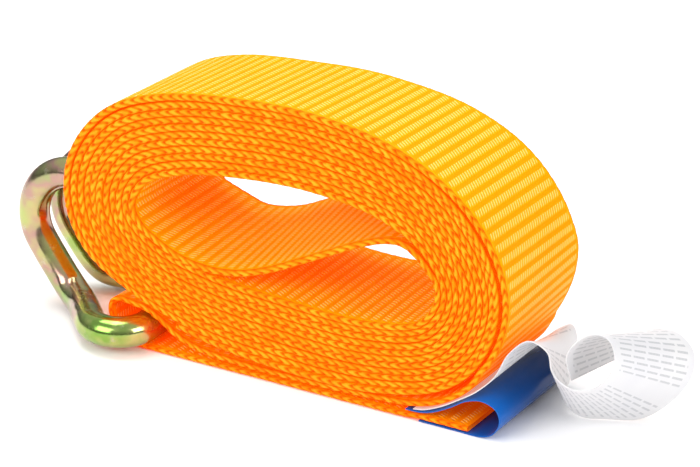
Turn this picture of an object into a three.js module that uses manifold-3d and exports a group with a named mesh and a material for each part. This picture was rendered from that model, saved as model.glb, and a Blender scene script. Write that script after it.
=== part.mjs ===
// Hook end of a 50 mm ratchet lashing, rolled up for storage: a long strip of
// polyester webbing wound from its middle, a double claw hook on a sewn loop
// and two labels caught in the loop's seam.
// Millimetres, +Z up. Origin: middle of the webbing's width on the flat
// underside of the tail, below the middle of the coil. +X runs along the coil
// away from the hook, +Y across the webbing.
import * as THREE from 'three';
import { mergeVertices } from 'three/addons/utils/BufferGeometryUtils.js';
import Module from 'manifold-3d';

const wasm = await Module();
wasm.setup();

// ---- driving dimensions ----------------------------------------------------
const WEB_WIDTH = 50;
const WEB_THICK = 1.9;
const TURNS = 5.5;
const STEPS_PER_TURN = 39;
const TAIL_END_X = 73;
const SPLIT_X = 44;

const WIRE = 11;
const BAR_X = -54;
const BAR_Z = 7.9;
const CLAW_CENTRE_X = -92.5;
const CLAW_CENTRE_Z = 33.3;
const CLAW_RADIUS = 18.5;
const CLAW_Y = 9;
const TIP_LENGTH = 4;

const LABEL_THICK = 0.35;
const LABEL_WIDTH = 50;
const THREAD = 0.6;

const group = new THREE.Group();
group.name = 'ratchet_tie_down_hook_end';

// ---- helpers ---------------------------------------------------------------
function addNode(name, geometry, colour, roughness, metalness) {
  const material = new THREE.MeshStandardMaterial({ color: colour, roughness, metalness });
  const mesh = new THREE.Mesh(geometry, material);
  mesh.name = name;
  group.add(mesh);
  return mesh;
}

function toManifold(geometry) {
  const plain = geometry.clone();
  plain.deleteAttribute('normal');
  plain.deleteAttribute('uv');
  const merged = mergeVertices(plain, 1e-4);
  const mesh = new wasm.Mesh({
    numProp: 3,
    vertProperties: new Float32Array(merged.attributes.position.array),
    triVerts: new Uint32Array(merged.index.array),
  });
  return new wasm.Manifold(mesh);
}

function fromManifold(manifold) {
  const mesh = manifold.getMesh();
  const geometry = new THREE.BufferGeometry();
  geometry.setAttribute('position', new THREE.BufferAttribute(new Float32Array(mesh.vertProperties), 3));
  geometry.setIndex(new THREE.BufferAttribute(new Uint32Array(mesh.triVerts), 1));
  geometry.computeVertexNormals();
  return geometry;
}

// Points of a smooth curve through hand-placed (x, z) positions.
function smooth(points, count) {
  const curve = new THREE.CatmullRomCurve3(points.map(([x, z]) => new THREE.Vector3(x, z, 0)));
  return curve.getSpacedPoints(count).map((p) => new THREE.Vector2(p.x, p.y));
}

// A strip of the given thickness whose middle follows (x, z) points,
// extruded across Y.
function strip(path, thickness, width) {
  const left = [];
  const right = [];
  for (let i = 0; i < path.length; i += 1) {
    const before = path[Math.max(i - 1, 0)];
    const after = path[Math.min(i + 1, path.length - 1)];
    const along = after.clone().sub(before).normalize();
    const normal = new THREE.Vector2(-along.y, along.x).multiplyScalar(thickness / 2);
    left.push(path[i].clone().add(normal));
    right.push(path[i].clone().sub(normal));
  }
  const shape = new THREE.Shape(left.concat(right.reverse()));
  const geometry = new THREE.ExtrudeGeometry(shape, { depth: width, bevelEnabled: false, curveSegments: 1 });
  geometry.rotateX(Math.PI / 2);
  geometry.translate(0, width / 2, 0);
  return geometry;
}

// A sheet of the given thickness between two edge lines that are matched
// point by point.
function sheetBetween(near, far, thickness, across) {
  const positions = [];
  const index = [];
  const last = near.length - 1;
  const along = (line, i) => line[Math.min(i + 1, last)].clone().sub(line[Math.max(i - 1, 0)]).normalize();
  [1, -1].forEach((face) => {
    for (let i = 0; i <= last; i += 1) {
      const width = far[i].clone().sub(near[i]);
      for (let j = 0; j <= across; j += 1) {
        const blend = j / across;
        const direction = along(near, i).lerp(along(far, i), blend);
        const normal = direction.cross(width).normalize().multiplyScalar((face * thickness) / 2);
        const p = near[i].clone().addScaledVector(width, blend).add(normal);
        positions.push(p.x, p.y, p.z);
      }
    }
  });
  const row = across + 1;
  const face = (last + 1) * row;
  for (let i = 0; i < last; i += 1) {
    for (let j = 0; j < across; j += 1) {
      const p = i * row + j;
      index.push(p, p + row, p + row + 1, p, p + row + 1, p + 1);
      index.push(face + p, face + p + row + 1, face + p + row, face + p, face + p + 1, face + p + row + 1);
    }
  }
  function wall(p, q) {
    index.push(p, q, face + q, p, face + q, face + p);
  }
  for (let i = 0; i < last; i += 1) {
    wall((i + 1) * row, i * row);
    wall(i * row + across, (i + 1) * row + across);
  }
  for (let j = 0; j < across; j += 1) {
    wall(j, j + 1);
    wall(last * row + j + 1, last * row + j);
  }
  const geometry = new THREE.BufferGeometry();
  geometry.setAttribute('position', new THREE.Float32BufferAttribute(positions, 3));
  geometry.setIndex(index);
  geometry.computeVertexNormals();
  return geometry;
}

// ---- the coil --------------------------------------------------------------
// Inner outline of the coil, clockwise from its left end: x, z and the spacing
// of the turns wound on outside it at that place.
const EYE = [
  [-56, 51, 2.66],
  [-51.5, 60, 2.62],
  [-37, 66.2, 2.56],
  [-12, 69.6, 2.52],
  [14, 69.8, 2.48],
  [38, 65.8, 2.38],
  [53.5, 57.5, 2.25],
  [60, 46.5, 2.16],
  [54.5, 36.2, 2.2],
  [35, 31.9, 2.3],
  [4, 32.6, 2.36],
  [-27, 35.6, 2.3],
  [-47.5, 41.5, 2.26],
];
const eyeCurve = new THREE.CatmullRomCurve3(EYE.map(([x, z, p]) => new THREE.Vector3(x, z, p)), true);

// Middle of the webbing after the given number of turns round the eye. The
// first end lies one layer inside the second.
function coilPoint(turn, layer) {
  const u = ((turn % 1) + 1) % 1;
  const at = eyeCurve.getPoint(u);
  const along = eyeCurve.getTangent(u);
  const normal = new THREE.Vector2(-along.y, along.x).normalize();
  return new THREE.Vector2(at.x, at.y).addScaledVector(normal, (layer + 0.5) * at.z);
}

// Every turn has its stations at the same places, so the turns nest.
function coilArc(fromTurn, toTurn, layerShift) {
  const first = Math.round(fromTurn * STEPS_PER_TURN);
  const last = Math.round(toTurn * STEPS_PER_TURN);
  const points = [];
  for (let i = first; i <= last; i += 1) {
    const turn = i / STEPS_PER_TURN;
    points.push(coilPoint(turn, 2 * turn + layerShift));
  }
  return points;
}

const hookSide = coilArc(-0.05, TURNS + 0.09, 0);
const freeSide = coilArc(0.5, TURNS + 0.36, -1);

// The fold across the hollow, from the hook side's first turn at the lower
// left up to a crest at the right. Its back edge hangs less than its front.
const foldStart = hookSide[0];
const foldEnd = freeSide[0];
const FOLD_STEPS = 26;
const foldFront = smooth([
  [foldStart.x, foldStart.y],
  [-40, 37.6],
  [-28, 35.4],
  [-16, 36.2],
  [-4, 39.8],
  [8, 45.3],
  [20, 51.2],
  [31, 56.5],
  [41, 60.2],
  [48, 60.6],
  [53.8, 57.4],
  [foldEnd.x, foldEnd.y],
], FOLD_STEPS).slice(1, -1);
const foldBack = smooth([
  [foldStart.x, foldStart.y],
  [-42, 42.1],
  [-35, 40.1],
  [-26.6, 40.8],
  [-18, 43.2],
  [-10.5, 46.6],
  [-1, 50.8],
  [10, 55],
  [21, 58.4],
  [32, 61],
  [41.5, 62.2],
  [49, 60.6],
  [54, 57.2],
  [foldEnd.x, foldEnd.y],
], FOLD_STEPS).slice(1, -1);

// The hook side's last turn comes off the coil and runs on under it.
const lastTurn = hookSide[hookSide.length - 1];
const outlet = smooth([
  [lastTurn.x, lastTurn.y],
  [73, 16.3],
  [64.5, 9.8],
  [57.5, 6.8],
  [51, 5.4],
  [SPLIT_X + 0.3, 4.7],
], 8).slice(1);

function edge(path, y) {
  return path.map((p) => new THREE.Vector3(p.x, y, p.y));
}

// The whole strip with the given line for its fold.
function coilPath(foldLine) {
  return freeSide.slice().reverse().concat(foldLine.slice().reverse(), hookSide, outlet);
}

const frontEdge = edge(coilPath(foldFront), -WEB_WIDTH / 2);
const backEdge = edge(coilPath(foldBack), WEB_WIDTH / 2);
const coil = sheetBetween(frontEdge, backEdge, WEB_THICK, 1);
addNode('webbing_coil', coil, 0xf58a07, 0.85, 0);

// ---- the sewn loop round the hook's bar, and the tail under the coil --------
const LIFT = 0.7;
const loopPath = smooth([
  [SPLIT_X, 4.7],
  [30, 4],
  [10, 3.6],
  [-15, 3.7],
  [-32, 5.2],
  [-40, 7.9],
  [-46.5, 12.1],
  [-52.5, 15.1],
  [-58.5, 16],
  [-64, 16.4],
  [-67.2, 14],
  [-67, 9],
  [-63.5, 4.4],
  [-57, 1.5],
], 36).concat([
  new THREE.Vector2(-50, WEB_THICK / 2),
  new THREE.Vector2(0, WEB_THICK / 2),
  new THREE.Vector2(48, WEB_THICK / 2),
  new THREE.Vector2(54, WEB_THICK / 2 + LIFT),
  new THREE.Vector2(TAIL_END_X, WEB_THICK / 2 + LIFT),
]);
const loopBody = toManifold(strip(loopPath, WEB_THICK, WEB_WIDTH));

// The seam: one thread sewn to and fro along the tail, lying in a furrow that
// it pulls into the underside.
const SEAM_FROM_X = -14;
const SEAM_TO_X = 46;
const SEAM_ROWS = 6;
const SEAM_PITCH = 7;

// The to-and-fro line as a bar of the given width between two heights.
function seamBar(width, bottom, top) {
  const firstY = -((SEAM_ROWS - 1) * SEAM_PITCH) / 2;
  const line = [];
  for (let row = 0; row < SEAM_ROWS; row += 1) {
    const ends = row % 2 === 0 ? [SEAM_FROM_X, SEAM_TO_X] : [SEAM_TO_X, SEAM_FROM_X];
    const y = firstY + row * SEAM_PITCH;
    line.push(new THREE.Vector2(ends[0], y), new THREE.Vector2(ends[1], y));
  }
  const left = [];
  const right = [];
  for (let i = 0; i < line.length; i += 1) {
    const into = line[i].clone().sub(line[Math.max(i - 1, 0)]).normalize();
    const out = line[Math.min(i + 1, line.length - 1)].clone().sub(line[i]).normalize();
    const side = new THREE.Vector2(-into.y - out.y, into.x + out.x).multiplyScalar(width / 2);
    left.push(line[i].clone().add(side));
    right.push(line[i].clone().sub(side));
  }
  const shape = new THREE.Shape(left.concat(right.reverse()));
  const bar = new THREE.ExtrudeGeometry(shape, { depth: top - bottom, bevelEnabled: false });
  bar.translate(0, 0, bottom);
  return bar;
}

const furrow = toManifold(seamBar(THREAD + 0.6, -1, THREAD + 0.6));
addNode('webbing_hook_loop', fromManifold(loopBody.subtract(furrow)), 0xf58a07, 0.85, 0);
addNode('loop_seam_thread', seamBar(THREAD, 0.3, 0.3 + THREAD), 0xf2c14a, 0.8, 0);

// ---- double claw hook ------------------------------------------------------
// Half of the wire, from the middle of the bar to one tip. The bar lies on the
// tail, the heel on the floor.
function wireHalf(side) {
  const points = [
    new THREE.Vector3(BAR_X, side * 20, BAR_Z),
    new THREE.Vector3(BAR_X, side * 25.5, BAR_Z),
    new THREE.Vector3(BAR_X - 3, side * 31, BAR_Z),
    new THREE.Vector3(BAR_X - 9, side * 33.6, BAR_Z),
    new THREE.Vector3(BAR_X - 15.5, side * 32, BAR_Z - 0.3),
    new THREE.Vector3(BAR_X - 23, side * 25.3, BAR_Z - 0.9),
    new THREE.Vector3(BAR_X - 33.5, side * 15, BAR_Z - 1.8),
    new THREE.Vector3(BAR_X - 41.5, side * (CLAW_Y + 1.2), BAR_Z + 0.6),
  ];
  for (let angle = 222; angle >= 90; angle -= 22) {
    const a = THREE.MathUtils.degToRad(angle);
    points.push(new THREE.Vector3(
      CLAW_CENTRE_X + CLAW_RADIUS * Math.cos(a),
      side * CLAW_Y,
      CLAW_CENTRE_Z + CLAW_RADIUS * Math.sin(a),
    ));
  }
  const top = CLAW_CENTRE_Z + CLAW_RADIUS;
  points.push(new THREE.Vector3(CLAW_CENTRE_X + TIP_LENGTH, side * CLAW_Y, top - 0.4));
  return points;
}

function roundSection(diameter, segments) {
  const shape = new THREE.Shape();
  shape.absarc(0, 0, diameter / 2, 0, Math.PI * 2, false);
  return new THREE.Shape(shape.getPoints(segments).slice(0, -1));
}

const wirePoints = wireHalf(-1).reverse().concat(wireHalf(1));
const wireCurve = new THREE.CatmullRomCurve3(wirePoints, false, 'centripetal');
const wire = new THREE.ExtrudeGeometry(roundSection(WIRE, 7), {
  steps: 96,
  extrudePath: wireCurve,
  bevelEnabled: false,
});
addNode('claw_hook', wire, 0xb9a04c, 0.3, 1);

// ---- labels ----------------------------------------------------------------
// Blue film: lies on the tail, swells into a fold beyond its cut end and comes
// back underneath.
const blueFold = smooth([
  [50, 3.2],
  [56, 3.5],
  [61, 5],
  [67, 8.2],
  [72.5, 11.6],
  [78.5, 12.9],
  [83.4, 10.8],
  [84.6, 6.6],
  [82, 2],
  [77.5, 0.3],
  [68, 0.22],
  [55, 0.22],
], 30);
addNode('blue_label', strip(blueFold, LABEL_THICK, LABEL_WIDTH), 0x0a55b5, 0.3, 0);

// White print: runs out between the coil and the blue film, arches over it and
// rolls up on the floor, wider at its far edge.
const NEAR = -LABEL_WIDTH / 2;
const FAR = LABEL_WIDTH / 2;
const whiteNear = [
  [53, NEAR, 4],
  [57, NEAR, 4.7],
  [63, NEAR, 7.3],
  [69, NEAR, 10.9],
  [76, NEAR, 15.8],
  [82.5, NEAR, 22.6],
  [87.5, NEAR, 32],
  [94.5, NEAR, 38],
  [101, NEAR, 35.5],
  [102.6, NEAR, 29.6],
  [105.6, NEAR, 26.6],
  [110.5, NEAR, 25.2],
  [116.5, NEAR, 26.8],
  [121.5, NEAR, 31.5],
  [124.1, NEAR, 38.5],
  [121.8, NEAR, 44.8],
  [116.8, NEAR, 45.6],
  [111.6, NEAR, 42.4],
  [107.6, NEAR, 36],
  [107.6, -21, 26],
];
const whiteFar = [
  [53, FAR, 4],
  [57, FAR, 4.7],
  [63, FAR, 7.3],
  [69, FAR, 10.9],
  [75.5, FAR, 15.6],
  [80.5, FAR, 20],
  [85, FAR, 22],
  [89, 21, 17.5],
  [90.5, 13, 9],
  [92.5, 6.5, 2.8],
  [99, 4.8, 0.5],
  [107, 7.5, 0.5],
  [116.5, 12, 1],
  [124.5, 17, 6.5],
  [130, 21, 15.5],
  [130, 22, 24],
  [124.5, 22.5, 29],
  [116.5, 23, 28.8],
  [109.5, 23, 24.5],
  [107.5, 22, 18.5],
];

function curl(points) {
  return new THREE.CatmullRomCurve3(points.map((p) => new THREE.Vector3(...p))).getPoints(42);
}

addNode('white_label', sheetBetween(curl(whiteNear), curl(whiteFar), LABEL_THICK, 4), 0xf2f2f4, 0.6, 0);

export default group;
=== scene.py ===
"""Rolled-up hook end of a ratchet lashing: how it looks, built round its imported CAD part.

Lengths in the lists are millimetres and become metres in the meshes. Same frame as the CAD part.
"""

import math

import bpy
import numpy as np
from mathutils import Matrix, Vector


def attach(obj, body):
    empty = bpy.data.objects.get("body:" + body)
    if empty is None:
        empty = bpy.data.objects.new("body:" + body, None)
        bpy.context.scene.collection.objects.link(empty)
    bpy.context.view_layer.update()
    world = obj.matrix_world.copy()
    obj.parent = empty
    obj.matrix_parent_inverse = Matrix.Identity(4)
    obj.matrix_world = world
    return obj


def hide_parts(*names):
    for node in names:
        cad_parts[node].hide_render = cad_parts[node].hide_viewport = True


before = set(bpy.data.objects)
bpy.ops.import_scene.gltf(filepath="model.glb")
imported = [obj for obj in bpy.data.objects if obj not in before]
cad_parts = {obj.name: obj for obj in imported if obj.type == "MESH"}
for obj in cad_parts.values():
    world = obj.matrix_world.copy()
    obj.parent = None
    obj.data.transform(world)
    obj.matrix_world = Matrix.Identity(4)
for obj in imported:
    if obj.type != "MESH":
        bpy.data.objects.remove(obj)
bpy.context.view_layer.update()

MM = 0.001
WEB_WIDTH = 50.0
RIB_PITCH = 4.1
STEPS_PER_RIB = 8
TURNS = 5.5
TURN_STEPS = 39
SPLIT_X = 44.0
TAIL_END_X = 73.0


# ---- curves ----------------------------------------------------------------
def catmull(points, closed=False, per_span=24):
    """Centripetal Catmull-Rom curve through the points, as (curve parameter, point) rows."""
    p = np.array(points, float)
    n = len(p)
    if closed:
        before, after = np.roll(p, 1, 0), np.roll(p, -1, 0)
        after2 = np.roll(p, -2, 0)
        spans = n
    else:
        ends = np.vstack([2 * p[0] - p[1], p, 2 * p[-1] - p[-2]])
        before, p, after, after2 = ends[:-3], ends[1:-2], ends[2:-1], ends[3:]
        spans = n - 1
    out = []
    w = np.arange(per_span)[:, None] / per_span
    for i in range(spans):
        a, b, c, d = before[i], p[i], after[i], after2[i]
        ta, tb, tc = (max(np.linalg.norm(v) ** 0.5, 1e-4) for v in (b - a, c - b, d - c))
        m1 = ((b - a) / ta - (c - a) / (ta + tb) + (c - b) / tb) * tb
        m2 = ((c - b) / tb - (d - b) / (tb + tc) + (d - c) / tc) * tb
        squared, cubed = -3 * b + 3 * c - 2 * m1 - m2, 2 * b - 2 * c + m1 + m2
        out.append(b + m1 * w + squared * w**2 + cubed * w**3)
    if not closed:
        out.append(after[spans - 1][None])
    return np.vstack(out)


def along(line):
    """The length from the line's first point to each of its points."""
    return np.concatenate([[0], np.cumsum(np.linalg.norm(np.diff(line, axis=0), axis=1))])


def read_off(line, places, at):
    """The line's columns at other lengths, where places holds the length at each of its points."""
    return np.column_stack([np.interp(at, places, column) for column in line.T])


def smoothstep(low, high, x):
    t = np.clip((np.asarray(x, float) - low) / (high - low), 0, 1)
    return t * t * (3 - 2 * t)


def bump(x, middle, half):
    """1 at the middle, falling smoothly to 0 at half either side."""
    return smoothstep(half, 0, np.abs(np.asarray(x, float) - middle))


# ---- the webbing's route ----------------------------------------------------
# The front edge is the CAD strip's. The back edge also sags at the top and lies higher in the hollow.
# Each point of the outline round the hollow is x, z and the thickness of one layer there.
EYE = [
    (-56, 51, 2.66),
    (-51.5, 60, 2.62),
    (-37, 66.2, 2.56),
    (-12, 69.6, 2.52),
    (14, 69.8, 2.48),
    (38, 65.8, 2.38),
    (53.5, 57.5, 2.25),
    (60, 46.5, 2.16),
    (54.5, 36.2, 2.2),
    (35, 31.9, 2.3),
    (4, 32.6, 2.36),
    (-27, 35.6, 2.3),
    (-47.5, 41.5, 2.26),
]
EYE_SPAN = 60
eye = catmull(EYE, closed=True, per_span=EYE_SPAN)
eye_along = np.roll(eye, -1, 0) - np.roll(eye, 1, 0)
eye_normal = np.stack([-eye_along[:, 1], eye_along[:, 0]], 1)
eye_normal /= np.linalg.norm(eye_normal, axis=1)[:, None]


def at_turn(values, turn):
    """The closed outline's values at any number of turns."""
    u = (np.asarray(turn) % 1) * len(values)
    i = np.floor(u).astype(int) % len(values)
    w = (u - np.floor(u))[:, None]
    return values[i] * (1 - w) + values[(i + 1) % len(values)] * w


BACK_RISE = 2.0
BACK_SAG = 1.5


def at_back(line):
    """The same places at the back edge."""
    x, z = line[:, 0], line[:, 1]
    rise = BACK_RISE * smoothstep(8, 33, z) * smoothstep(60, 44, z) * (1 + 0.5 * smoothstep(10, 40, x))
    sag = BACK_SAG * smoothstep(66, 96, z) * smoothstep(-60, -10, x) * smoothstep(75, 20, x)
    return np.column_stack([x, z + rise - sag])


def coil(turns, shift):
    """The strip's middle after these turns: front x, z, back x, z, pitch, layer, place round the coil."""
    base, normal = at_turn(eye, turns), at_turn(eye_normal, turns)
    layer = 2 * turns + shift
    middle = base[:, :2] + normal * ((layer + 0.5) * base[:, 2])[:, None]
    return np.column_stack([middle, at_back(middle), base[:, 2], layer, turns % 1])


def snapped(turn):
    return round(turn * TURN_STEPS) / TURN_STEPS


def arm(first, last, shift):
    """One of the two arms that run round the hollow together."""
    count = int((last - first) * POINTS_PER_TURN)
    return coil(np.linspace(snapped(first), snapped(last), count), shift)


POINTS_PER_TURN = 520
hook_side = arm(-0.05, TURNS + 0.09, 0)
free_side = arm(0.5, TURNS + 0.36, -1)


def spaced(points, count):
    """Evenly spaced points on the curve through these."""
    line = catmull(points)
    s = along(line)
    return read_off(line, s, np.linspace(0, s[-1], count))


NO_LAYER = -9.0


def plain(front, thick_pitch, back=None):
    """A stretch off the coil through these x, z points: the coil's columns, with no layer or place."""
    count = 24 * len(front)
    near = spaced(front, count)
    far = near if back is None else spaced(back, count)
    return np.column_stack([near, far, np.full(count, thick_pitch), np.full((count, 2), NO_LAYER)])


FOLD_FRONT = [
    tuple(hook_side[0, :2]),
    (-40, 37.6),
    (-28, 35.4),
    (-16, 36.2),
    (-4, 39.8),
    (8, 45.3),
    (20, 51.2),
    (31, 56.5),
    (41, 60.2),
    (48, 60.6),
    (53.8, 57.4),
    tuple(free_side[0, :2]),
]
FOLD_BACK = [
    tuple(hook_side[0, 2:4]),
    (-42, 42.1),
    (-35, 40.1),
    (-26.6, 40.8),
    (-18, 43.2),
    (-10.5, 46.6),
    (-1, 50.8),
    (10, 55),
    (21, 58.4),
    (32, 61),
    (41.5, 62.2),
    (49, 60.6),
    (54, 57.2),
    tuple(free_side[0, 2:4]),
]
fold = plain(FOLD_FRONT, 2.2, FOLD_BACK)
outlet = plain(
    [tuple(hook_side[-1, :2]), (73, 16.3), (64.5, 9.8), (57.5, 6.8), (51, 5.4), (SPLIT_X, 4.7)],
    2.05,
)
loop = plain(
    [
        (SPLIT_X, 4.7),
        (30, 4),
        (10, 3.6),
        (-15, 3.7),
        (-32, 5.2),
        (-40, 7.9),
        (-46.5, 12.1),
        (-52.5, 15.1),
        (-58.5, 16),
        (-64, 16.4),
        (-67.2, 14),
        (-67, 9),
        (-63.5, 4.4),
        (-57, 1.5),
        (-50, 0.95),
        (-40, 0.95),
        (0, 0.95),
        (40, 0.95),
        (48, 0.98),
        (55, 1.6),
        (60, 1.65),
        (TAIL_END_X, 1.65),
    ],
    1.95,
)
# The fold and the outlet share their end points with the arms, so those are left out.
coil_route = np.vstack([free_side[::-1], fold[::-1][1:-1], hook_side, outlet[1:]])


def resample(route, step):
    """The route in even steps of its front edge, with the length at each."""
    s = along(route[:, :2])
    at = np.linspace(0, s[-1], int(round(s[-1] / step)) + 1)
    return at, read_off(route, s, at)


def normals(line):
    """Unit vectors square to a line in the x, z plane."""
    t = np.gradient(line, axis=0)
    n = np.stack([-t[:, 1], t[:, 0]], 1)
    return n / np.linalg.norm(n, axis=1)[:, None]


def soft_noise(at, length, seed):
    """Smooth noise between -1 and 1 with features of that length."""
    r = np.random.default_rng(seed)
    knots = np.arange(math.floor(at[0] / length) - 1, math.ceil(at[-1] / length) + 3)
    values = r.uniform(-1, 1, len(knots))
    x = at / length - knots[0]
    i = np.clip(np.floor(x).astype(int), 0, len(values) - 2)
    w = x - i
    w = w * w * (3 - 2 * w)
    return values[i] * (1 - w) + values[i + 1] * w


# ---- mesh helpers -----------------------------------------------------------
def mesh_object(name, verts, faces, flat_faces=0):
    """An object from points in millimetres, smooth but for its last flat_faces faces."""
    mesh = bpy.data.meshes.new(name)
    mesh.from_pydata((verts * MM).tolist(), [], [list(map(int, face)) for face in faces])
    smooth = [True] * (len(faces) - flat_faces) + [False] * flat_faces
    mesh.polygons.foreach_set("use_smooth", smooth)
    mesh.update()
    obj = bpy.data.objects.new(name, mesh)
    bpy.context.scene.collection.objects.link(obj)
    return obj


def set_strip_uv(obj, places):
    """The "strip" UV: metres along and across the strip, from millimetres at each point."""
    mesh = obj.data
    uv = mesh.uv_layers.new(name="strip")
    corner = np.zeros(len(mesh.loops), np.int32)
    mesh.loops.foreach_get("vertex_index", corner)
    uv.data.foreach_set("uv", (places * MM)[corner].ravel().astype(np.float32))


# ---- the webbing ------------------------------------------------------------
# s is the length along the strip. On its cross-section, w goes across its width and t through its
# thickness, from -1 to 1.
LAYER_GAP = 0.06
OUTER_LAYER = (9.3, 9.9)
GROOVE_OPEN = 0.42
GROOVE_OPEN_RIGHT = 0.5
PROUD = 0.9
EDGE_HALF = [(24.45, 0.97), (24.86, 0.76), (25.02, 0.4)]
EDGE_RING = [*EDGE_HALF, (25.06, 0.0), *((w, -t) for w, t in EDGE_HALF[::-1])]
RIB_HEIGHT = 0.24
CHAIN_DEPTH = 0.2
HOLE_DEPTH = 0.5
BORDER_DEPTH = 0.05
RIBS_FULL, RIBS_END = 22.4, 23.6


def skewed(x):
    """A wave with period 1 that rises slowly and drops quickly."""
    return np.sin(2 * np.pi * x + 0.55 * np.sin(2 * np.pi * x))


def cross_section(face_widths):
    """The (w, t) points round the strip."""
    top = [(w, 1.0) for w in face_widths] + EDGE_RING
    bottom = [(w, -1.0) for w in face_widths[::-1]] + [(-w, t) for w, t in EDGE_RING[::-1]]
    return top + bottom


def outer_turn_shift(s, layer, place):
    """How far the strip is shifted outward and sideways: a little all along, more on the outermost turn."""
    outer_turn = smoothstep(*OUTER_LAYER, layer)
    opened = GROOVE_OPEN * outer_turn * np.maximum(bump(place, 0.06, 0.2), bump(place, 1.06, 0.2))
    opened += GROOVE_OPEN_RIGHT * outer_turn * bump(place, 0.54, 0.16)
    away = opened + 0.05 * soft_noise(s, 37.0, 3)
    sideways = 0.32 * soft_noise(s, 61.0, 5) - PROUD * outer_turn * bump(place, 0.78, 0.2)
    return away, sideways


def edge_relief_and_shading(s, w, t):
    """How far the knitted chain on an edge stands out, and its painted shading: a painted highlight on the
    raised strand, painted shade in the holes and towards the rims between layers.
    """
    slant = 0.62 * abs(t - 0.3)
    phase = s / RIB_PITCH - slant + 0.11 * soft_noise(s, 6.0, 11) + (0.5 if w > 0 else 0.0)
    leaf = phase % 1
    fullness = 0.8 + 0.2 * soft_noise(s, 3.3, 13)
    chain = smoothstep(0, 0.3, leaf) * smoothstep(1, 0.62, leaf) * fullness
    hole = bump(t, 0.35, 0.6) * np.maximum(bump(leaf, 0, 0.22), bump(leaf, 1, 0.22))
    out = -(CHAIN_DEPTH * (1 - chain) + HOLE_DEPTH * hole) * np.sign(w)
    # painted shade: the colour darkens towards the rims where the layers meet
    rim_shade = 1 - 0.28 * smoothstep(0.62, 0.97, abs(t))
    # painted highlight on the raised strand, painted shade in the holes
    painted_shading = np.clip(0.42 + 0.58 * chain, 0, 1) * (1 - 0.9 * hole) * rim_shade
    return out, painted_shading


def face_relief_and_shading(s, w, face):
    """How far a face lies below its ribs' tops, and its painted shading: painted highlights on the rib
    crests, painted shade in the grooves.
    """
    rib = smoothstep(0.16, 0.62, 0.5 + 0.5 * skewed(s / RIB_PITCH + (0.25 if face > 0 else 0.75)))
    ribbed = smoothstep(RIBS_END, RIBS_FULL, abs(w))
    sunk = RIB_HEIGHT * ribbed * (1 - rib) + BORDER_DEPTH * (1 - ribbed)
    # painted highlight on the rib crests, painted shade in the grooves and on the smooth margin
    painted_shading = rib * ribbed + 0.3 * (1 - ribbed)
    return sunk, painted_shading


def webbing(name, at, route, face_widths, start_s, press=None):
    """A closed strip of webbing along the route, its underside pushed in by what press says."""
    near, far = route[:, :2], route[:, 2:4]
    near_normal, far_normal = normals(near), normals(far)
    half = (route[:, 4] - LAYER_GAP) / 2
    s = at + start_s
    away, sideways = outer_turn_shift(s, route[:, 5], route[:, 6])
    rows, painted_relief_shading, places = [], [], []
    for w, t in cross_section(face_widths):
        on_edge = abs(w) > RIBS_END
        face = 1.0 if t > 0 else -1.0
        if on_edge:
            out, painted_shading = edge_relief_and_shading(s, w, t)
            height = half * t
        else:
            out = 0.0
            sunk, painted_shading = face_relief_and_shading(s, w, face)
            height = half * t - face * sunk
        y = w + out + sideways
        back = ((y + WEB_WIDTH / 2) / WEB_WIDTH)[:, None]
        line = near * (1 - back) + far * back
        normal = near_normal * (1 - back) + far_normal * back
        if press is not None and t < 0 and not on_edge:
            height = height + press(line, y)
        x, z = (line + normal * (height + away)[:, None]).T
        rows.append(np.stack([x, y, z], 1))
        painted_relief_shading.append(painted_shading)
        across = w + np.sign(w) * (1 - t) if on_edge else w
        places.append(np.stack([s, np.full(len(s), across)], 1))
    verts = np.stack(rows, 1)
    n, m = verts.shape[:2]
    index = np.arange(n * m).reshape(n, m)
    after = np.roll(index, -1, 1)
    sides = np.stack([after[:-1], after[1:], index[1:], index[:-1]], -1).reshape(-1, 4)
    obj = mesh_object(name, verts.reshape(-1, 3), [*sides, index[0], index[-1][::-1]])
    # the painted highlights and shade of the ribs and chain, for the material's colour
    attribute = obj.data.attributes.new("painted_relief_shading", "FLOAT", "POINT")
    attribute.data.foreach_set("value", np.stack(painted_relief_shading, 1).ravel().astype(np.float32))
    set_strip_uv(obj, np.stack(places, 1).reshape(-1, 2))
    return obj


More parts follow.
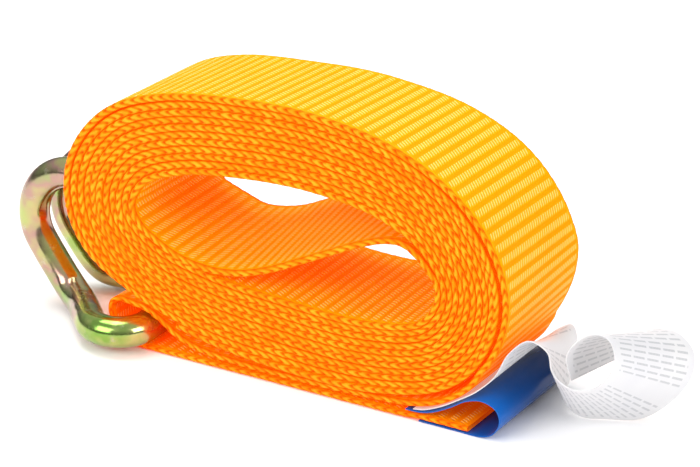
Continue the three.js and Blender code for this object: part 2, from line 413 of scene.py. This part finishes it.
# ---- node helpers -----------------------------------------------------------
class Nodes:
    """Short names for building a material."""

    def __init__(self, name):
        self.material = bpy.data.materials.new(name)
        self.material.use_nodes = True
        self.tree = self.material.node_tree
        self.shader = self.tree.nodes["Principled BSDF"]

    def put(self, target, value):
        if isinstance(value, bpy.types.NodeSocket):
            self.tree.links.new(value, target)
        else:
            target.default_value = value

    def math(self, operation, a, b=None, c=None):
        node = self.tree.nodes.new("ShaderNodeMath")
        node.operation = operation
        for i, v in enumerate((a, b, c)):
            if v is not None:
                self.put(node.inputs[i], v)
        return node.outputs[0]

    def attribute(self, name):
        node = self.tree.nodes.new("ShaderNodeAttribute")
        node.attribute_name = name
        return node

    def uv(self, name):
        node = self.tree.nodes.new("ShaderNodeUVMap")
        node.uv_map = name
        split = self.tree.nodes.new("ShaderNodeSeparateXYZ")
        self.tree.links.new(node.outputs[0], split.inputs[0])
        return node.outputs[0], split.outputs[0], split.outputs[1]

    def position(self):
        return self.tree.nodes.new("ShaderNodeTexCoord").outputs["Object"]

    def scaled(self, vector, scale):
        node = self.tree.nodes.new("ShaderNodeMapping")
        self.tree.links.new(vector, node.inputs[0])
        node.inputs["Scale"].default_value = scale
        return node.outputs[0]

    def noise(self, vector, scale, detail=2.0, rough=0.5):
        node = self.tree.nodes.new("ShaderNodeTexNoise")
        self.tree.links.new(vector, node.inputs["Vector"])
        node.inputs["Scale"].default_value = scale
        node.inputs["Detail"].default_value = detail
        node.inputs["Roughness"].default_value = rough
        return node.outputs["Fac"]

    def ramp(self, fac, stops):
        node = self.tree.nodes.new("ShaderNodeValToRGB")
        while len(node.color_ramp.elements) < len(stops):
            node.color_ramp.elements.new(0.5)
        for element, (place, colour) in zip(node.color_ramp.elements, stops):
            element.position = place
            element.color = (*colour, 1)
        self.tree.links.new(fac, node.inputs[0])
        return node.outputs[0]

    def mix(self, fac, a, b, blend="MIX"):
        node = self.tree.nodes.new("ShaderNodeMix")
        node.data_type = "RGBA"
        node.blend_type = blend
        self.put(node.inputs[0], fac)
        self.put(node.inputs[6], a if isinstance(a, bpy.types.NodeSocket) else (*a, 1))
        self.put(node.inputs[7], b if isinstance(b, bpy.types.NodeSocket) else (*b, 1))
        return node.outputs[2]

    def span(self, value, a, b, c=0.0, d=1.0):
        node = self.tree.nodes.new("ShaderNodeMapRange")
        node.interpolation_type = "SMOOTHSTEP"
        self.put(node.inputs[0], value)
        for i, v in enumerate((a, b, c, d)):
            node.inputs[i + 1].default_value = v
        return node.outputs[0]

    def bump(self, height, distance, strength=1.0, normal=None):
        node = self.tree.nodes.new("ShaderNodeBump")
        node.inputs["Strength"].default_value = strength
        node.inputs["Distance"].default_value = distance
        self.tree.links.new(height, node.inputs["Height"])
        if normal is not None:
            self.tree.links.new(normal, node.inputs["Normal"])
        return node.outputs[0]

    def set(self, **values):
        for name, value in values.items():
            socket = self.shader.inputs[name.replace("_", " ")]
            if isinstance(value, tuple) and len(value) == 3 and socket.type == "RGBA":
                value = (*value, 1)
            self.put(socket, value)


YARN_PITCH = 1.45 * MM
YARN_SLANT = 0.5
EDGE_COLOUR = (23.8 * MM, 24.6 * MM)


def webbing_material():
    n = Nodes("webbing")
    vector, u, v = n.uv("strip")
    painted_relief_shading = n.attribute("painted_relief_shading").outputs["Fac"]
    edge = n.span(n.math("ABSOLUTE", v), *EDGE_COLOUR)
    # one yarn after another across the width, each slanting over its rib
    yarn_at = n.math("MULTIPLY_ADD", u, YARN_SLANT, v)
    yarn = n.math("FRACT", n.math("DIVIDE", yarn_at, YARN_PITCH))
    ridge = n.math("SUBTRACT", 1.0, n.math("ABSOLUTE", n.math("MULTIPLY_ADD", yarn, 2.0, -1.0)))
    ridge = n.span(ridge, 0.15, 0.8)
    face = n.math("SUBTRACT", 1.0, edge)
    dash = n.math("MULTIPLY", n.math("MULTIPLY", ridge, painted_relief_shading), face)
    filament = n.noise(n.scaled(vector, (900, 5200, 1)), 1.0, 2.0, 0.6)
    height = n.math("MULTIPLY_ADD", filament, 0.25, dash)
    patch = n.noise(n.scaled(vector, (60, 60, 1)), 1.0, 3.0, 0.6)
    tone = n.math("MULTIPLY_ADD", patch, 0.3, -0.15)
    # painted shade in the rib grooves, painted yellow highlights on the crests and yarn dashes; tone adds
    # random patches
    on_face = n.ramp(
        n.math("ADD", n.math("MULTIPLY_ADD", dash, 0.5, n.math("MULTIPLY", painted_relief_shading, 0.4)), tone),
        [
            (0.05, (0.97, 0.27, 0.0)),
            (0.35, (0.98, 0.35, 0.0)),
            (0.55, (1.0, 0.39, 0.008)),
            (0.85, (1.0, 0.56, 0.12)),
        ],
    )
    # the edges' colour follows the painted shading: dark red painted shade in the holes and between layers,
    # lighter on the raised strands
    on_edge = n.ramp(
        n.math("ADD", painted_relief_shading, tone),
        [
            (0.05, (0.62, 0.025, 0.0)),
            (0.4, (0.9, 0.11, 0.0)),
            (0.72, (0.98, 0.19, 0.0)),
            (1.0, (1.0, 0.36, 0.015)),
        ],
    )
    # The weak orange glow is painted light that keeps the webbing's shaded parts bright orange.
    n.set(
        Base_Color=n.mix(edge, on_face, on_edge),
        Roughness=n.span(painted_relief_shading, 0.1, 1.0, 0.7, 0.5),
        Specular_IOR_Level=0.04,
        Emission_Color=(1.0, 0.07, 0.0),
        Emission_Strength=0.4,
        Normal=n.bump(height, 0.0003, 1.0),
    )
    return n.material


def thread_material():
    n = Nodes("thread")
    spot = n.noise(n.position(), 900.0, 3.0)
    n.set(
        Base_Color=n.ramp(spot, [(0.3, (0.7, 0.4, 0.05)), (0.7, (0.95, 0.68, 0.2))]),
        Roughness=0.55,
        Normal=n.bump(spot, 0.0002, 0.5),
    )
    return n.material


def hook_material():
    n = Nodes("hook")
    place = n.position()
    wide = n.noise(n.scaled(place, (46, 46, 46)), 1.0, 3.0, 0.6)
    colour = n.ramp(
        wide,
        [
            (0.3, (0.2, 0.36, 0.07)),
            (0.41, (0.42, 0.46, 0.16)),
            (0.5, (0.44, 0.39, 0.18)),
            (0.58, (0.42, 0.25, 0.21)),
            (0.7, (0.28, 0.4, 0.12)),
        ],
    )
    fine = n.noise(n.scaled(place, (420, 420, 420)), 1.0, 3.0, 0.65)
    scuff = n.noise(n.scaled(place, (150, 150, 150)), 1.0, 4.0, 0.7)
    colour = n.mix(n.span(scuff, 0.56, 0.7, 0.0, 0.45), colour, (0.5, 0.48, 0.36))
    n.set(
        Base_Color=colour,
        Metallic=1.0,
        Roughness=n.span(scuff, 0.3, 0.75, 0.12, 0.3),
        Normal=n.bump(fine, 0.00008, 0.35, n.bump(wide, 0.0009, 0.25)),
    )
    return n.material


def blue_material():
    n = Nodes("blue_film")
    _, _, v = n.uv("strip")
    wave = n.noise(n.scaled(n.position(), (70, 18, 70)), 1.0, 2.0, 0.5)
    # painted shade: the film darkens from its near edge to its far edge, unevenly along the wrinkle noise
    painted_back_shade = n.math("MULTIPLY_ADD", wave, 0.3, n.math("DIVIDE", v, 0.05))
    n.set(
        Base_Color=n.ramp(
            painted_back_shade,
            [(0.12, (0.0, 0.11, 0.46)), (0.45, (0.0, 0.068, 0.31)), (1.0, (0.004, 0.022, 0.1))],
        ),
        Roughness=n.span(wave, 0.3, 0.7, 0.2, 0.28),
        Specular_IOR_Level=0.16,
        Normal=n.bump(wave, 0.0008, 0.3),
    )
    return n.material


ROW_PITCH = 2.1 * MM
WORD_PITCH = 8.5 * MM
LETTER_PITCH = 0.9 * MM
BLOCK_PITCH = 47 * MM
PRINT_HALF_WIDTH = (21.5 * MM, 20.5 * MM)


def white_material():
    """Satin film with rows of grey bars where the print would be."""
    n = Nodes("white_film")
    _, u, v = n.uv("strip")
    row = n.math("FRACT", n.math("DIVIDE", u, ROW_PITCH))
    line = n.math("MULTIPLY", n.span(row, 0.3, 0.38), n.span(row, 0.72, 0.64))
    row_number = n.math("FLOOR", n.math("DIVIDE", u, ROW_PITCH))
    # a different shift for each row, from the sine of its number
    jitter = n.math("FRACT", n.math("MULTIPLY", n.math("SINE", n.math("MULTIPLY", row_number, 12.9)), 43.7))
    word_at = n.math("ADD", n.math("DIVIDE", v, WORD_PITCH), n.math("MULTIPLY", jitter, 3.0))
    word = n.math("FRACT", word_at)
    words = n.math("MULTIPLY", n.span(word, 0.06, 0.1), n.span(word, 0.92, 0.86))
    letters = n.math("FRACT", n.math("DIVIDE", v, LETTER_PITCH))
    broken = n.span(letters, 0.1, 0.4, 0.3, 1.0)
    from_middle = n.math("ABSOLUTE", n.math("SUBTRACT", v, WEB_WIDTH / 2 * MM))
    inside = n.span(from_middle, *PRINT_HALF_WIDTH)
    block = n.math("FRACT", n.math("DIVIDE", u, BLOCK_PITCH))
    blocks = n.math("MULTIPLY", n.span(block, 0.06, 0.08), n.span(block, 0.94, 0.92))
    ink = n.math("MULTIPLY", n.math("MULTIPLY", line, words), n.math("MULTIPLY", broken, inside))
    ink = n.math("MULTIPLY", n.math("MULTIPLY", ink, blocks), 0.55)
    soft = n.noise(n.scaled(n.position(), (40, 40, 40)), 1.0, 2.0, 0.5)
    paper = n.ramp(soft, [(0.3, (0.42, 0.42, 0.45)), (0.7, (0.47, 0.47, 0.48))])
    # painted light: a weak glow keeps the film's shaded side light, standing in for the light the thin film
    # lets through
    n.set(
        Base_Color=n.mix(ink, paper, (0.14, 0.15, 0.17)),
        Emission_Color=n.mix(ink, (1.0, 0.97, 0.94), (0.45, 0.46, 0.48)),
        Emission_Strength=0.24,
        Roughness=0.42,
        Normal=n.bump(soft, 0.001, 0.15),
    )
    return n.material


MATERIALS = {
    "webbing": webbing_material(),
    "thread": thread_material(),
    "hook": hook_material(),
    "blue_film": blue_material(),
    "white_film": white_material(),
}


def finish_piece(obj, node, slot, body):
    """Give a piece its material, attach it to its body's empty and hide the CAD node it replaces."""
    obj.data.materials.append(MATERIALS[slot])
    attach(obj, body)
    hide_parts(node)


# The coil and its outlet, then the sewn loop with the tail, ribbed in one run.
STEP = RIB_PITCH / STEPS_PER_RIB
FACE_WIDTHS = [-RIBS_END, -RIBS_FULL, 0.0, RIBS_FULL, RIBS_END]
coil_at, coil_line = resample(coil_route, STEP)
coil_piece = webbing("webbing_rolled", coil_at, coil_line, FACE_WIDTHS, 0.0)
finish_piece(coil_piece, "webbing_coil", "webbing", "strap")

SEAM_Y = [-17.5, -10.5, -3.5, 3.5, 10.5, 17.5]
SEAM_FROM, SEAM_TO = -14.0, 46.0
FURROW_DEPTH = 0.55
STITCH_PITCH = 4.0
SEAM_STEP = 0.4
THREAD_RADIUS = 0.36


def pressed(line, y):
    """How far the seam pulls the tail's underside in."""
    under = smoothstep(2.2, 1.6, line[:, 1])
    under = under * smoothstep(SEAM_FROM - 1.5, SEAM_FROM + 0.5, line[:, 0])
    under = under * smoothstep(SEAM_TO + 1.5, SEAM_TO - 0.5, line[:, 0])
    deep = np.max([bump(y, row, 1.1) for row in SEAM_Y], axis=0)
    return FURROW_DEPTH * under * deep


loop_at, loop_line = resample(loop, STEP)
furrow_widths = {row + d for row in SEAM_Y for d in (-1.2, -0.6, 0.0, 0.6, 1.2)}
widths = sorted({*FACE_WIDTHS, *furrow_widths})
loop_piece = webbing(
    "webbing_sewn_loop", loop_at, loop_line, widths, coil_at[-1], press=pressed
)
finish_piece(loop_piece, "webbing_hook_loop", "webbing", "strap")


# ---- tubes ------------------------------------------------------------------
def tube(name, line, radius, sides):
    """A closed round tube along points, with a radius per point."""
    line = np.array(line, float)
    radius = np.broadcast_to(np.asarray(radius, float), (len(line),))
    tangent = np.gradient(line, axis=0)
    tangent /= np.linalg.norm(tangent, axis=1)[:, None]
    any_direction = (0.3, 0.2, 0.9)
    side = np.cross(tangent[0], any_direction)
    side /= np.linalg.norm(side)
    rings = []
    for i in range(len(line)):
        side = side - tangent[i] * (side @ tangent[i])
        side /= np.linalg.norm(side)
        other = np.cross(tangent[i], side)
        a = np.arange(sides) * 2 * np.pi / sides
        rings.append(line[i] + radius[i] * (np.cos(a)[:, None] * side + np.sin(a)[:, None] * other))
    index = np.arange(len(line) * sides).reshape(len(line), sides)
    after = np.roll(index, -1, 1)
    quads = np.stack([index[:-1], after[:-1], after[1:], index[1:]], -1).reshape(-1, 4)
    return mesh_object(name, np.vstack(rings), [*quads, index[0][::-1], index[-1]], flat_faces=2)


# ---- double claw hook ---------------------------------------------------------
WIRE = 11.0
BAR_X, BAR_Z = -54.0, 7.9
CLAW_X, CLAW_Z, CLAW_R, CLAW_Y = -92.5, 33.3, 18.5, 9.0
TIP_LENGTH = 4.0
TIP_ROUNDING = 1.1
TIP_ROUNDED_OVER = 1.3


def wire_half(side):
    """One half of the hook's wire, from the bar inside the webbing to the claw's tip."""
    points = [
        (BAR_X, side * 20, BAR_Z),
        (BAR_X, side * 25.5, BAR_Z),
        (BAR_X - 3, side * 31, BAR_Z),
        (BAR_X - 9, side * 33.6, BAR_Z),
        (BAR_X - 15.5, side * 32, BAR_Z - 0.3),
        (BAR_X - 23, side * 25.3, BAR_Z - 0.9),
        (BAR_X - 33.5, side * 15, BAR_Z - 1.8),
        (BAR_X - 41.5, side * (CLAW_Y + 1.2), BAR_Z + 0.6),
    ]
    for angle in range(222, 89, -22):
        a = math.radians(angle)
        points.append((CLAW_X + CLAW_R * math.cos(a), side * CLAW_Y, CLAW_Z + CLAW_R * math.sin(a)))
    points.append((CLAW_X + TIP_LENGTH, side * CLAW_Y, CLAW_Z + CLAW_R - 0.4))
    return points


wire_line = catmull(wire_half(-1)[::-1] + wire_half(1), per_span=14)
wire_s = along(wire_line)
even = np.linspace(0, wire_s[-1], 360)
wire_line = read_off(wire_line, wire_s, even)
from_end = np.minimum(even, even[-1] - even)
wire_radius = WIRE / 2 - TIP_ROUNDING * smoothstep(TIP_ROUNDED_OVER, 0, from_end)
hook = tube("claw_hook_wire", wire_line, wire_radius, sides=40)
finish_piece(hook, "claw_hook", "hook", "hook")


# ---- seam thread ---------------------------------------------------------------
def seam_line():
    """One thread to and fro along the tail's underside, dipping into the webbing between stitches."""
    points = []
    for i, y in enumerate(SEAM_Y):
        xs = np.arange(SEAM_FROM, SEAM_TO + 0.01, SEAM_STEP)
        if i % 2:
            xs = xs[::-1]
        points += [(x, y) for x in xs]
        if i + 1 < len(SEAM_Y):
            turn_y = np.arange(y + SEAM_STEP, SEAM_Y[i + 1] - 0.01, SEAM_STEP)
            points += [(xs[-1], between) for between in turn_y]
    points = np.array(points)
    s = along(points)
    z = 0.38 + 0.5 * np.maximum(0, np.cos(2 * np.pi * s / STITCH_PITCH)) ** 6
    return np.column_stack([points, z])


thread = tube("seam_stitches", seam_line(), THREAD_RADIUS, sides=8)
finish_piece(thread, "loop_seam_thread", "thread", "strap")


# ---- labels ----------------------------------------------------------------------
def film(name, near, far, thick, steps, across):
    """A thin closed sheet between two edge lines, with a strip UV in metres."""
    t = np.linspace(0, 1, steps + 1)
    a, b = catmull(near, per_span=12), catmull(far, per_span=12)
    a, b = (read_off(line, np.linspace(0, 1, len(line)), t) for line in (a, b))
    v = np.linspace(0, 1, across + 1)
    grid = a[:, None] * (1 - v)[None, :, None] + b[:, None] * v[None, :, None]
    du, dv = np.gradient(grid, axis=0), np.gradient(grid, axis=1)
    normal = np.cross(du, dv)
    normal /= np.linalg.norm(normal, axis=2)[..., None]
    length = along(grid[:, across // 2])
    n, m = steps + 1, across + 1
    index = np.arange(n * m).reshape(n, m)
    q = np.stack([index[:-1, :-1], index[1:, :-1], index[1:, 1:], index[:-1, 1:]], -1).reshape(-1, 4)
    top, bottom = q, q[:, ::-1] + n * m
    rim = np.concatenate([index[:-1, 0], index[-1, :-1], index[:0:-1, -1], index[0, :0:-1]])
    after = np.roll(rim, -1)
    wall = np.stack([after, rim, rim + n * m, after + n * m], -1)
    lift = normal * thick / 2
    verts = np.concatenate([(grid + lift).reshape(-1, 3), (grid - lift).reshape(-1, 3)])
    obj = mesh_object(name, verts, np.vstack([top, bottom, wall]))
    flat = np.stack([np.repeat(length[:, None], m, 1), np.repeat(v[None] * WEB_WIDTH, n, 0)], -1)
    set_strip_uv(obj, np.vstack([flat.reshape(-1, 2)] * 2))
    sharp = obj.modifiers.new("edges", "EDGE_SPLIT")
    sharp.split_angle = math.radians(50)
    return obj, length[-1]


BLUE = [
    (50, 3.2),
    (56, 3.5),
    (61, 5),
    (67, 8.2),
    (72.5, 11.6),
    (78.5, 12.9),
    (83.4, 10.8),
    (84.6, 6.6),
    (82, 2),
    (77.5, 0.3),
    (68, 0.22),
    (55, 0.22),
]
NEAR, FAR = -WEB_WIDTH / 2, WEB_WIDTH / 2
FILM_THICK = 0.3
blue, blue_length = film(
    "blue_film_fold",
    [(x, NEAR, z) for x, z in BLUE],
    [(x, FAR, z) for x, z in BLUE],
    FILM_THICK,
    steps=120,
    across=12,
)
finish_piece(blue, "blue_label", "blue_film", "strap")

WHITE_NEAR = [
    (53, NEAR, 4),
    (57, NEAR, 4.7),
    (63, NEAR, 7.3),
    (69, NEAR, 10.9),
    (76, NEAR, 15.8),
    (82.5, NEAR, 22.6),
    (87.5, NEAR, 32),
    (94.5, NEAR, 38),
    (101, NEAR, 35.5),
    (102.6, NEAR, 29.6),
    (105.6, NEAR, 26.6),
    (110.5, NEAR, 25.2),
    (116.5, NEAR, 26.8),
    (121.5, NEAR, 31.5),
    (124.1, NEAR, 38.5),
    (121.8, NEAR, 44.8),
    (116.8, NEAR, 45.6),
    (111.6, NEAR, 42.4),
    (107.6, NEAR, 36),
    (107.6, -21, 26),
]
WHITE_FAR = [
    (53, FAR, 4),
    (57, FAR, 4.7),
    (63, FAR, 7.3),
    (69, FAR, 10.9),
    (75.5, FAR, 15.6),
    (80.5, FAR, 20),
    (85, FAR, 22),
    (89, 21, 17.5),
    (90.5, 13, 9),
    (92.5, 6.5, 2.8),
    (99, 4.8, 0.5),
    (107, 7.5, 0.5),
    (116.5, 12, 1),
    (124.5, 17, 6.5),
    (130, 21, 15.5),
    (130, 22, 24),
    (124.5, 22.5, 29),
    (116.5, 23, 28.8),
    (109.5, 23, 24.5),
    (107.5, 22, 18.5),
]
white, white_length = film(
    "white_film_roll", WHITE_NEAR, WHITE_FAR, FILM_THICK, steps=150, across=24
)
finish_piece(white, "white_label", "white_film", "strap")

# ---- floor, light and camera --------------------------------------------------------
bpy.ops.mesh.primitive_plane_add(size=8, location=(0, 0, -0.0002))
floor = bpy.context.object
floor.name = "floor"
floor_look = Nodes("floor")
floor_look.set(Base_Color=(0.97, 0.97, 0.97), Roughness=0.9, Specular_IOR_Level=0.1)
floor.data.materials.append(floor_look.material)

world = bpy.data.worlds.new("studio")
world.use_nodes = True
tree = world.node_tree
background = tree.nodes["Background"]
where = tree.nodes.new("ShaderNodeTexCoord")
part = tree.nodes.new("ShaderNodeSeparateXYZ")
tree.links.new(where.outputs["Generated"], part.inputs[0])
sky = tree.nodes.new("ShaderNodeValToRGB")
sky.color_ramp.elements[0].position = 0.0
sky.color_ramp.elements[0].color = (0.12, 0.12, 0.12, 1)
sky.color_ramp.elements[1].position = 0.55
sky.color_ramp.elements[1].color = (1.0, 1.0, 1.0, 1)
tree.links.new(part.outputs[2], sky.inputs[0])
tree.links.new(sky.outputs[0], background.inputs[0])
background.inputs[1].default_value = 0.75
bpy.context.scene.world = world


def area(name, where_m, target, size, power):
    """A soft lamp at a place in metres, turned to its target."""
    data = bpy.data.lights.new(name, "AREA")
    data.shape = "RECTANGLE"
    data.size, data.size_y = size
    data.energy = power
    light = bpy.data.objects.new(name, data)
    light.location = where_m
    light.rotation_mode = "QUATERNION"
    light.rotation_quaternion = (Vector(target) - Vector(where_m)).to_track_quat("-Z", "Y")
    bpy.context.scene.collection.objects.link(light)


area("key", (-0.25, 0.1, 1.1), (0, 0, 0.05), (0.9, 0.7), 10)
area("front", (-0.35, -1.0, 0.6), (0, 0, 0.04), (0.8, 0.6), 8)
area("side", (1.0, -0.2, 0.5), (0, 0, 0.04), (0.5, 0.5), 5.5)

# The camera was fitted to the coil's outlines and rib directions. Its place and axes are in the same frame.
camera = bpy.data.cameras.new("camera")
camera.sensor_width = 36
camera.lens = 138.857
camera.clip_start, camera.clip_end = 0.05, 50
view = bpy.data.objects.new("camera", camera)
right = Vector((0.8565, 0.5162, 0.0))
up = Vector((-0.1971, 0.327, 0.9242))
forward = Vector((-0.477, 0.7916, -0.3818))
turn = Matrix((right, up, -forward)).transposed().to_4x4()
view.matrix_world = Matrix.Translation((0.4426, -0.7112, 0.3915)) @ turn
bpy.context.scene.collection.objects.link(view)
bpy.context.scene.camera = view
bpy.context.scene.view_settings.view_transform = "Standard"
